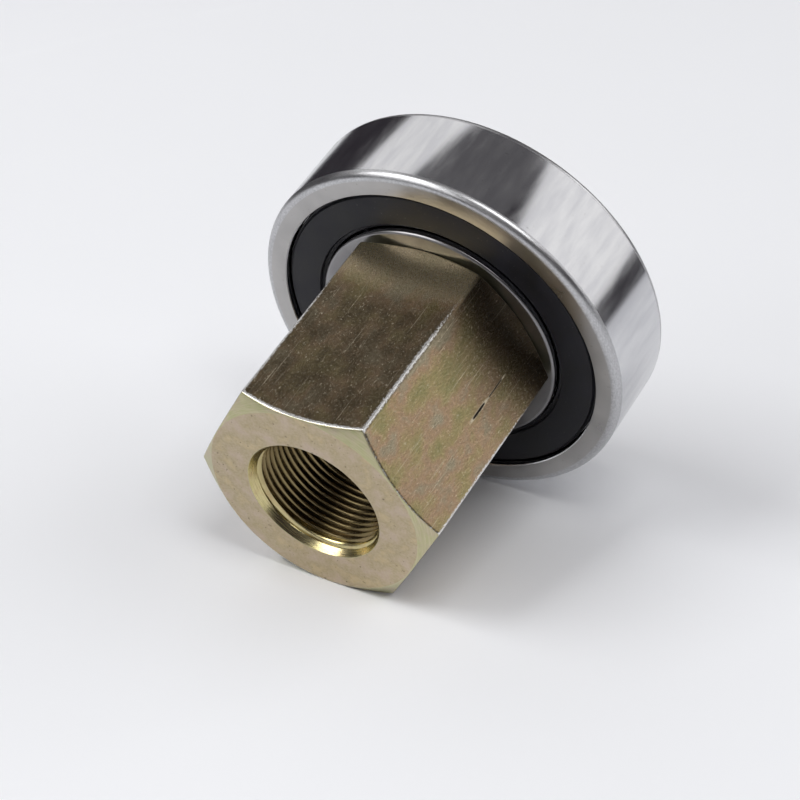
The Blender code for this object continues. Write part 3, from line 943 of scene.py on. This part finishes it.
def grained(look, colour, grain):
    """Dark pits, pale grains and specks, and fine scratches along the bar."""
    colour = look.mix(look.spread(grain, 0.30, 0.52, 0.75, 0.0), colour, DARK_GRAIN)
    colour = look.mix(look.spread(grain, 0.54, 0.72, 0.0, 0.45), colour, PALE_ZINC)
    specks = look.noise(0.2, drawn(2.5))
    colour = look.mix(look.spread(specks, 0.64, 0.74, 0.0, 0.8), colour, PALE_ZINC)
    lines = look.noise(0.09, drawn(160), 1.0)
    where = look.noise(3.0, drawn(4), 1.0)
    scratch = look.math("MULTIPLY", look.spread(lines, 0.69, 0.72), look.spread(where, 0.5, 0.6))
    return look.mix(scratch, colour, PALE_ZINC)


def worn_and_highlighted(look, colour, from_rim, on_top):
    """Ragged wear to bare steel along the edges, the same bare steel along the rims as a painted
    highlight that is strongest on the top flat, and a dotted dark line along the side flats' rims.
    """
    ragged = look.noise(0.22, drawn(1.5), 3.0, 0.8)
    edge_reach = look.math("SUBTRACT", look.math("MULTIPLY", ragged, EDGE_WEAR), EDGE_KEPT)
    sheltered = look.spread(from_rim, *NEAR_BEARING, 0.0, SHELTERED_EDGE)
    edge_reach = look.math("SUBTRACT", edge_reach, sheltered)
    edge_wear = look.math("SUBTRACT", edge_reach, look.attribute("from_edge"))
    # Painted highlight: ragged bare steel along the rims, kept mostly off the side flats so that it
    # shows on the top flat.
    rim_reach = look.math("SUBTRACT", look.math("MULTIPLY", ragged, RIM_WEAR_AND_HIGHLIGHT), from_rim)
    rim_kept = look.spread(on_top, 0.0, 1.0, SIDE_RIM_KEPT, TOP_RIM_KEPT)
    rim_wear_and_highlight = look.math("SUBTRACT", rim_reach, rim_kept)
    at_rim = look.math("SUBTRACT", look.spread(from_rim, *RIM_DOTS, 1.0, 0.0), on_top)
    dots = look.math("MULTIPLY", at_rim, look.spread(ragged, 0.4, 0.5))
    colour = look.mix(dots, colour, DENT)
    wear = look.math("MAXIMUM", edge_wear, rim_wear_and_highlight)
    return look.mix(look.spread(wear, -0.04, 0.06), colour, BARE_STEEL)


def add_dent(look, colour, normal, dent):
    """A dent along the bar in the side flat: a shallow bump, with painted shade inside it and a
    painted highlight as a pale rim round it.
    """
    across, y, half_width, half_length = dent
    place = look.outward(DENTED_SIDE + pi / 2)
    terms = []
    for value, middle, half in ((place, across, half_width), (look.y, y, half_length)):
        share = look.math("DIVIDE", look.math("SUBTRACT", value, middle), half)
        terms.append(look.math("POWER", look.math("ABSOLUTE", share), DENT_SQUARENESS))
    height = look.outward(DENTED_SIDE)
    off_flat = look.spread(height, HALF_FLAT - 0.5, HALF_FLAT - 1.0, 0.0, DENT_OUTSIDE)
    far = look.math("ADD", look.math("ADD", *terms), off_flat)
    # Painted highlight: a pale rim round the dent. Painted shade: near black inside it.
    colour = look.mix(look.spread(far, 1.0, 6.0, 0.8, 0.0), colour, PALE_ZINC)
    colour = look.mix(look.spread(far, 0.5, 1.2, 1.0, 0.0), colour, DENT)
    return colour, look.bump(look.spread(far, 0.3, 3.0), DENT_DEPTH, normal)


def plated_flats():
    """Yellow zinc on drawn bar: tinted with painted shade and a painted reflection band, grained
    along the bar, with ragged wear at its edges, a painted highlight along its rims and dents with
    painted shade and highlight.
    """
    look = Look("yellow_zinc_flats")
    from_rim = look.attribute("from_rim")
    on_top = look.spread(look.z, HALF_FLAT - 0.6, HALF_FLAT - 0.2)
    grain = look.noise(0.085, drawn(6), 3.0, 0.7)
    colour = tinted_with_painted_light(look, from_rim, on_top)
    colour = grained(look, colour, grain)
    colour = worn_and_highlighted(look, colour, from_rim, on_top)
    normal = look.bump(grain, 0.046)
    normal = look.bump(look.noise(0.28, drawn(12)), 0.05, normal)
    normal = look.bump(look.noise(1.6, drawn(3)), 0.03, normal)
    for dent in DENTS:
        colour, normal = add_dent(look, colour, normal, dent)
    return look.finish(colour, look.roughness(grain, 0.34, 0.24), normal)


def plated_faces():
    """Yellow zinc on the turned end: mottled tan with faint pink and faint turning marks."""
    look = Look("yellow_zinc_end_face")
    tint = look.patches(FACE_TINTS, 3.2)
    specks = look.noise(0.35, detail=3.0)
    colour = look.mix(look.spread(specks, 0.35, 0.7, 0.0, 0.4), tint, PALE_ZINC)
    nicks = look.noise(0.5, detail=1.0)
    colour = look.mix(look.spread(nicks, 0.72, 0.76, 0.0, 0.7), colour, DARK_GRAIN)
    turning = look.noise(0.12, lathed(30), place=look.polar())
    normal = look.bump(turning, 0.004)
    normal = look.bump(specks, 0.012, normal)
    return look.finish(colour, look.roughness(specks, 0.34, 0.46), normal)


def plated_chamfers():
    """Greenish gold with turning marks."""
    look = Look("yellow_zinc_chamfers")
    tint = look.patches(CHAMFER_TINTS, 2.4, detail=3.0)
    turning = look.noise(0.10, lathed(25), 3.0)
    colour = look.mix(look.spread(turning, 0.35, 0.7, 0.0, 0.5), tint, PALE_ZINC)
    return look.finish(colour, look.roughness(turning, 0.3, 0.42), look.bump(turning, 0.02))


def plated_hole():
    """Brighter gold, with painted shade in the roots of the thread."""
    look = Look("yellow_zinc_hole")
    tint = look.patches(HOLE_TINTS, 3.0, drawn(0.6), 3.0)
    turning = look.noise(0.09, lathed(40), 3.0)
    # Painted shade in the thread's roots, fading out past the thread's start; darker turning marks
    # are added to it.
    in_thread = look.spread(look.y, THREAD_START - SHADE_BELOW, THREAD_START + SHADE_ABOVE, 1.0, 0.0)
    in_root = look.spread(look.radius, THREAD_CREST_RADIUS, THREAD_ROOT_RADIUS, 0.78, 0.97)
    darkening = look.math("MULTIPLY", in_thread, in_root)
    darkening = look.math("MAXIMUM", darkening, look.spread(turning, 0.5, 0.8, 0.0, 0.4))
    colour = look.mix(darkening, tint, DARK_GOLD)
    normal = look.bump(turning, 0.006)
    normal = look.bump(look.noise(0.8, (2, 0.4, 2)), 0.012, normal)
    return look.finish(colour, look.roughness(turning, 0.18, 0.3), normal)


def plated_seat():
    """The end face's tan, with turning marks on the seat and on its end."""
    look = Look("yellow_zinc_seat")
    tint = look.patches(FACE_TINTS, 3.2, detail=5.0)
    on_end = look.noise(0.10, lathed(30), place=look.polar())
    on_seat = look.noise(0.12, lathed(30))
    colour = look.mix(look.spread(on_seat, 0.4, 0.7, 0.0, 0.3), tint, DARK_GRAIN)
    normal = look.bump(on_end, 0.006)
    normal = look.bump(on_seat, 0.006, normal)
    return look.finish(colour, look.roughness(on_end, 0.28, 0.4), normal)


def polished_tread():
    """Ground and run-in steel, with soft smears across the tread and a few grey spots."""
    look = Look("ground_tread")
    smears = look.noise(1.5, drawn(5), 3.0)
    spots = look.noise(0.3, lathed(2), 1.0)
    colour = look.clouded(smears, TREAD_GREYS)
    colour = look.mix(look.spread(spots, 0.72, 0.78, 0.0, 0.5), colour, TREAD_SPOT)
    normal = look.bump(look.noise(0.06, lathed(60)), 0.0006)
    normal = look.bump(look.noise(2.2, drawn(7)), 0.007, normal)
    return look.finish(colour, look.roughness(smears, 0.13, 0.20), normal)


def ring_corner():
    """Tumbled steel with a fine speckle."""
    look = Look("ring_corner")
    specks = look.noise(0.14, lathed(3), 3.0, 0.7)
    rough = look.roughness(look.noise(2.5, lathed(2)), 0.30, 0.40)
    return look.finish(look.clouded(specks, CORNER_GREYS), rough, look.bump(specks, 0.005))


def ring_side(name, greys):
    """Satin ground steel between two greys, with fine turned lay and small dark marks."""
    look = Look(name)
    clouds = look.noise(4.0, lathed(2), 3.0)
    marks = look.noise(0.3, lathed(2))
    colour = look.clouded(clouds, greys)
    colour = look.mix(look.spread(marks, 0.68, 0.78, 0.0, 0.5), colour, SIDE_MARK)
    normal = look.bump(look.noise(0.08, lathed(40), place=look.polar()), 0.002)
    return look.finish(colour, look.roughness(clouds, 0.26, 0.36), normal)


def bearing_steel(name, roughness):
    """Clean ground steel for the faces inside the bearing."""
    look = Look(name)
    clouds = look.noise(3.0, detail=3.0)
    rough = look.roughness(clouds, 0.8 * roughness, 1.2 * roughness)
    normal = look.bump(look.noise(0.07, lathed(50)), 0.001)
    return look.finish(look.clouded(clouds, INSIDE_GREYS), rough, normal)


def pressed_steel(name, roughness):
    """Dull sheet steel with an even grain."""
    look = Look(name)
    clouds = look.noise(1.5, detail=3.0)
    grain = look.noise(0.12)
    rough = look.roughness(grain, 0.85 * roughness, 1.2 * roughness)
    return look.finish(look.clouded(clouds, PRESSED_GREYS), rough, look.bump(grain, 0.008))


def seal_rubber():
    """Moulded black rubber with a slight bloom, fine moulding marks and dust."""
    look = Look("seal_rubber")
    bloom = look.noise(3.5, lathed(1.5), 3.0)
    dust = look.noise(0.28, detail=1.0)
    colour = look.clouded(bloom, RUBBER_BLACKS)
    colour = look.mix(look.spread(dust, 0.735, 0.77, 0.0, 0.6), colour, DUST)
    normal = look.bump(look.noise(0.10), 0.010)
    normal = look.bump(look.noise(0.5, lathed(4), place=look.polar()), 0.015, normal)
    return look.finish(colour, look.roughness(bloom, 0.42, 0.58), normal, 0.0, 0.35)


def spring_steel():
    """Blackened steel, rubbed bright in small places."""
    look = Look("blackened_spring_steel")
    grain = look.noise(0.12, lathed(6))
    wear = look.noise(0.4, detail=3.0)
    colour = look.clouded(look.noise(2.0, detail=3.0), SPRING_BLACKS)
    colour = look.mix(look.spread(wear, 0.66, 0.74, 0.0, 0.6), colour, SPRING_WEAR)
    return look.finish(colour, look.roughness(grain, 0.3, 0.45), look.bump(grain, 0.006))


# Studio


def toward(psi, lean):
    """A direction at this angle about the spin axis, leaning towards the threaded end."""
    return Vector((cos(lean) * sin(psi), sin(lean), cos(lean) * cos(psi)))


def add_softbox(name, psi, lean, wide, tall, radiance):
    """A soft rectangle of light in this direction, sized in degrees as seen from the part."""
    psi, lean = radians(psi), radians(lean)
    light = bpy.data.lights.new(name, "AREA")
    light.shape = "RECTANGLE"
    light.size = 2 * LIGHT_DISTANCE * tan(radians(wide) / 2)
    light.size_y = 2 * LIGHT_DISTANCE * tan(radians(tall) / 2)
    light.energy = radiance * pi * light.size * light.size_y
    lamp = bpy.data.objects.new(name, light)
    back = toward(psi, lean)
    side = Vector((cos(psi), 0.0, -sin(psi)))
    rotation = Matrix((side, back.cross(side), back)).transposed()
    lamp.matrix_world = Matrix.Translation(back * LIGHT_DISTANCE) @ rotation.to_4x4()
    lamp.visible_camera = False
    bpy.context.scene.collection.objects.link(lamp)


def make_floor():
    """A pale disc under the part, which lies on its ring's edge and on one edge of the hexagon."""
    corner_y = BEARING_Y + HALF_WIDTH - OUTER_CORNER
    corner_z = -OUTER_RADIUS + OUTER_CORNER
    rest_y = SPINDLE_END - chamfer_setback(HALF_FLAT)
    rest_z = -HALF_FLAT
    rise, run = rest_z - corner_z, rest_y - corner_y
    tilt = atan2(rise, run) + asin(OUTER_CORNER / hypot(rise, run))
    disc = bmesh.new()
    bmesh.ops.create_circle(disc, cap_ends=True, segments=FLOOR_SEGMENTS, radius=FLOOR_RADIUS)
    mesh = bpy.data.meshes.new("floor")
    disc.to_mesh(mesh)
    disc.free()
    mesh.materials.append(paper())
    floor = bpy.data.objects.new("floor", mesh)
    down = Vector((0.0, sin(tilt), -cos(tilt)))
    rest = Vector((0.0, rest_y, rest_z)) * MM + down * FLOOR_GAP
    place = Matrix.Translation(rest + Vector((FLOOR_SHIFT, 0.0, 0.0)))
    floor.matrix_world = place @ Matrix.Rotation(tilt, 4, "X")
    bpy.context.scene.collection.objects.link(floor)


def paper():
    """White paper with a faint tooth, whose rim fades into the pale surroundings."""
    look = Look("paper")
    rim = [share * FLOOR_RADIUS / MM for share in FLOOR_FADE]
    clouds = look.noise(60.0)
    colour = look.mix(clouds, tuple(PAPER_SHADE * part for part in PAPER), PAPER)
    sheet = look.add("ShaderNodeBsdfDiffuse", {0: colour, 2: look.bump(look.noise(0.5), 0.01)})
    clear = look.add("ShaderNodeBsdfTransparent")
    share = look.spread(look.length(look.x, look.y), *rim)
    both = look.add("ShaderNodeMixShader", {0: share, 1: sheet.outputs[0], 2: clear.outputs[0]})
    look.add("ShaderNodeOutputMaterial", {0: both.outputs[0]})
    return look.material


def make_world():
    """Surroundings as pale as the paper to the camera, and dim to everything else."""
    world = bpy.data.worlds.new("studio")
    world.use_nodes = True
    bpy.context.scene.world = world
    tree = world.node_tree
    tree.nodes.clear()
    path = tree.nodes.new("ShaderNodeLightPath")
    both = tree.nodes.new("ShaderNodeMixShader")
    tree.links.new(path.outputs["Is Camera Ray"], both.inputs[0])
    for i, colour in ((1, DIM_SURROUNDINGS), (2, PALE_SURROUNDINGS)):
        background = tree.nodes.new("ShaderNodeBackground")
        background.inputs[0].default_value = (*colour, 1)
        tree.links.new(background.outputs[0], both.inputs[i])
    output = tree.nodes.new("ShaderNodeOutputWorld")
    tree.links.new(both.outputs[0], output.inputs[0])


def make_camera():
    """A camera at CAMERA_DISTANCE from CAMERA_AIM, rolled a little about its line of sight."""
    camera = bpy.data.cameras.new("camera")
    camera.lens = CAMERA_LENS
    level = cos(CAMERA_ELEVATION)
    back = Vector((sin(CAMERA_AZIMUTH) * level, -cos(CAMERA_AZIMUTH) * level, sin(CAMERA_ELEVATION)))
    side = Vector((0.0, 0.0, 1.0)).cross(back).normalized()
    lift = back.cross(side)
    right = side * cos(CAMERA_ROLL) + lift * sin(CAMERA_ROLL)
    turned = Matrix((right, back.cross(right), back)).transposed().to_4x4()
    viewer = bpy.data.objects.new("camera", camera)
    viewer.matrix_world = Matrix.Translation((CAMERA_AIM + back * CAMERA_DISTANCE) * MM) @ turned
    bpy.context.scene.collection.objects.link(viewer)
    bpy.context.scene.camera = viewer


make_outer_ring(
    polished_tread(),
    ring_corner(),
    ring_side("outer_ring_side", OUTER_SIDE_GREYS),
    bearing_steel("outer_ring_inside", 0.18),
)
make_inner_ring(
    ring_side("inner_ring_side", SHADED_INNER_SIDE_GREYS),
    bearing_steel("inner_ring_inside", 0.12),
)
make_balls(bearing_steel("ball_steel", 0.06))
make_cage(pressed_steel("cage_steel", 0.35))
make_rivets(pressed_steel("rivet_steel", 0.32))
make_seals(seal_rubber(), pressed_steel("insert_steel", 0.4))
make_spindle(plated_flats(), plated_faces(), plated_chamfers(), plated_hole(), plated_seat())
make_retaining_ring(spring_steel())

make_floor()
make_world()
for softbox in SOFTBOXES:
    add_softbox(*softbox)
make_camera()
bpy.context.scene.view_settings.view_transform = "Standard"
